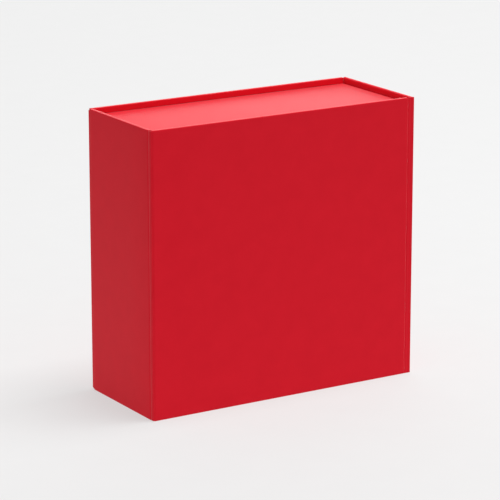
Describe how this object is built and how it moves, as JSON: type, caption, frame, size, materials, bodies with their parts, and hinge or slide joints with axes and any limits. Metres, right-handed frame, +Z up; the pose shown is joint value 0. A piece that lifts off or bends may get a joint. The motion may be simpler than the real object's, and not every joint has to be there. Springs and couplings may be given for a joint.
{
  "type": "presentation box",
  "caption": "Red covered presentation box standing on its lower edge: boards hinged like a book round a recessed tray, closed by a flap at the fore edge.",
  "frame": {"origin": "centre of the box's footprint, at the level of the lower edges that it stands on", "axes": "+X from the spine to the closing flap, +Y from the lid to the base panel, +Z up, from the lower edge to the upper edge"},
  "size_m": [0.253, 0.1036, 0.24],
  "materials": {
    "red_covering_paper": "matte",
    "greyboard": "matte",
    "manila_corner_tape": "matte",
    "nickel_plated_magnet": "satin",
    "steel_keeper": "satin"
  },
  "bodies": {
    "tray_and_spine": {"base_board": "greyboard", "base_covering": "red_covering_paper", "base_joint_covering": "red_covering_paper", "spine_board": "greyboard", "spine_covering": "red_covering_paper", "spine_lining": "red_covering_paper", "lid_joint_covering": "red_covering_paper", "tray_wall_lower": "greyboard", "tray_wall_upper": "greyboard", "tray_wall_spine": "greyboard", "tray_wall_fore": "greyboard", "tray_floor_board": "greyboard", "tray_covering": "red_covering_paper", "tray_floor_lining": "red_covering_paper", "corner_stay_lower_spine": "manila_corner_tape", "corner_stay_lower_fore": "manila_corner_tape", "corner_stay_upper_spine": "manila_corner_tape", "corner_stay_upper_fore": "manila_corner_tape", "wall_keeper_lower": "steel_keeper", "wall_keeper_upper": "steel_keeper"},
    "lid": {"lid_board": "greyboard", "lid_covering": "red_covering_paper", "lid_lining": "red_covering_paper", "flap_joint_covering": "red_covering_paper"},
    "flap": {"flap_board": "greyboard", "flap_covering": "red_covering_paper", "flap_lining": "red_covering_paper", "flap_magnet_lower": "nickel_plated_magnet", "flap_magnet_upper": "nickel_plated_magnet"}
  },
  "joints": [
    {"name": "lid_hinge", "type": "hinge", "parent": "tray_and_spine", "child": "lid", "pos_m": [-0.1262, -0.05145, 0.12], "axis": [0, 0, -1], "range_deg": [0, 180], "deforming": ["lid_joint_covering"]},
    {"name": "flap_hinge", "type": "hinge", "parent": "lid", "child": "flap", "pos_m": [0.1262, -0.05145, 0.12], "axis": [0, 0, -1], "range_deg": [0, 90], "deforming": ["flap_joint_covering"]}
  ]
}
